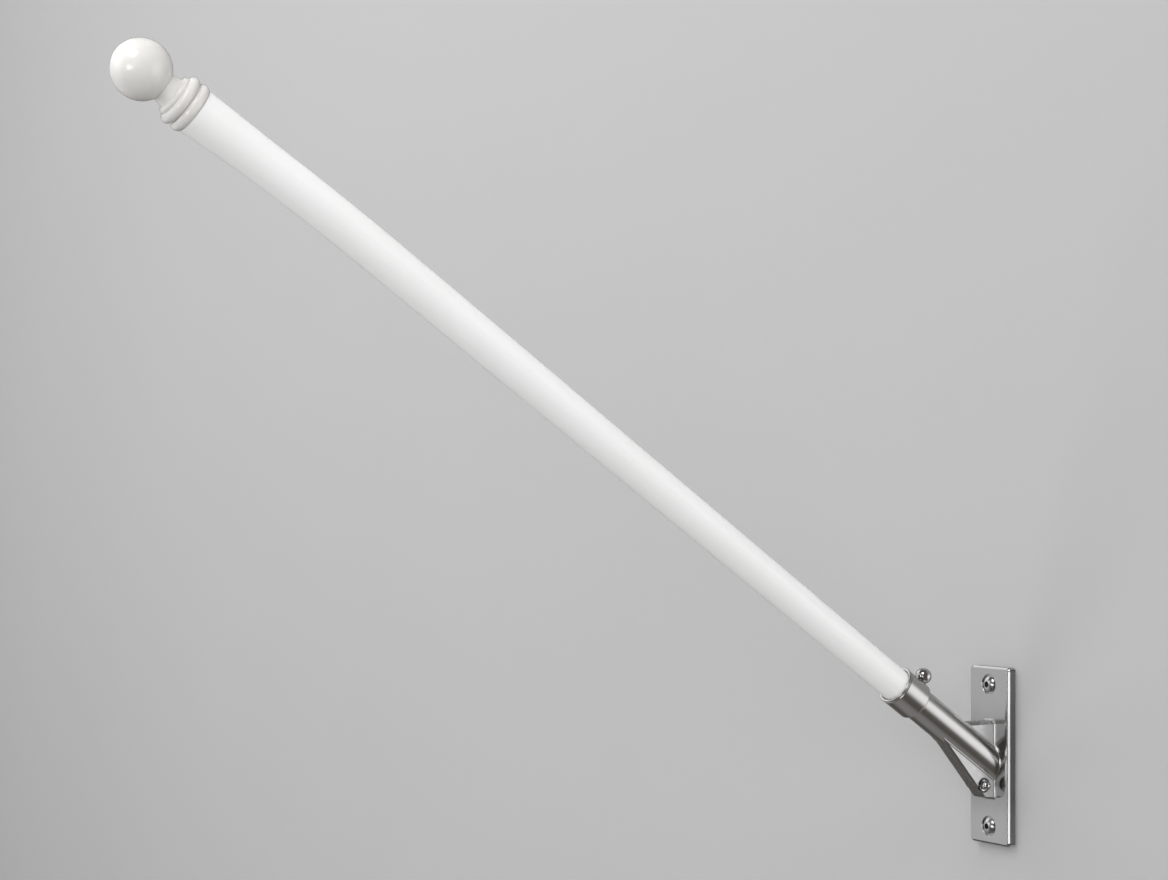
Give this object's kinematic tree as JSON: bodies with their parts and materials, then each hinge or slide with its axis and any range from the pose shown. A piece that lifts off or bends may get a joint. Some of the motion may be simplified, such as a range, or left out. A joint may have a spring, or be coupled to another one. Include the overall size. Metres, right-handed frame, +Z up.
{
  "type": "wall-mounted flagpole",
  "caption": "White house flagpole with a ball finial, clamped by a thumb screw in the slanted tube socket of a brushed steel wall bracket.",
  "frame": {"origin": "centre of the wall plate's flat back face, on the wall", "axes": "+Z up, +Y into the wall, so the pole leans out towards -Y and up; X across the plate"},
  "size_m": [0.049, 0.78, 0.6031],
  "materials": {
    "brushed_plate": "fine vertical brushing, satin",
    "brushed_bracket": "satin brushed",
    "polished_fasteners": "polished",
    "white_paint": "semi-gloss white paint on turned timber",
    "white_enamel": "glossy warm white enamel on turned timber"
  },
  "bodies": {
    "bracket": {"wall_plate": "brushed_plate", "wall_screw_upper": "polished_fasteners", "wall_screw_lower": "polished_fasteners", "socket_tube": "brushed_bracket", "socket_collar": "brushed_bracket", "web_upper": "brushed_bracket", "web_lower": "brushed_bracket", "cross_bolt": "polished_fasteners", "bolt_washer_near": "polished_fasteners", "bolt_washer_far": "polished_fasteners", "bolt_cap_near": "polished_fasteners", "bolt_cap_far": "polished_fasteners"},
    "thumb_screw": {"thumb_screw_shank": "polished_fasteners", "thumb_screw_ball": "polished_fasteners"},
    "pole": {"pole_shaft": "white_paint", "pole_shank": "white_paint", "finial_neck": "white_enamel", "finial_ball": "white_enamel"}
  },
  "joints": [
    {"name": "pole_slide", "type": "slide", "parent": "bracket", "child": "pole", "axis": [0, -0.8211, 0.5707], "range_m": [0, 0.11]},
    {"name": "thumb_screw_turn", "type": "hinge", "parent": "bracket", "child": "thumb_screw", "pos_m": [0, -0.08394, 0.06454], "axis": [0, 0.5707, 0.8211], "range_deg": [0, 720]}
  ]
}
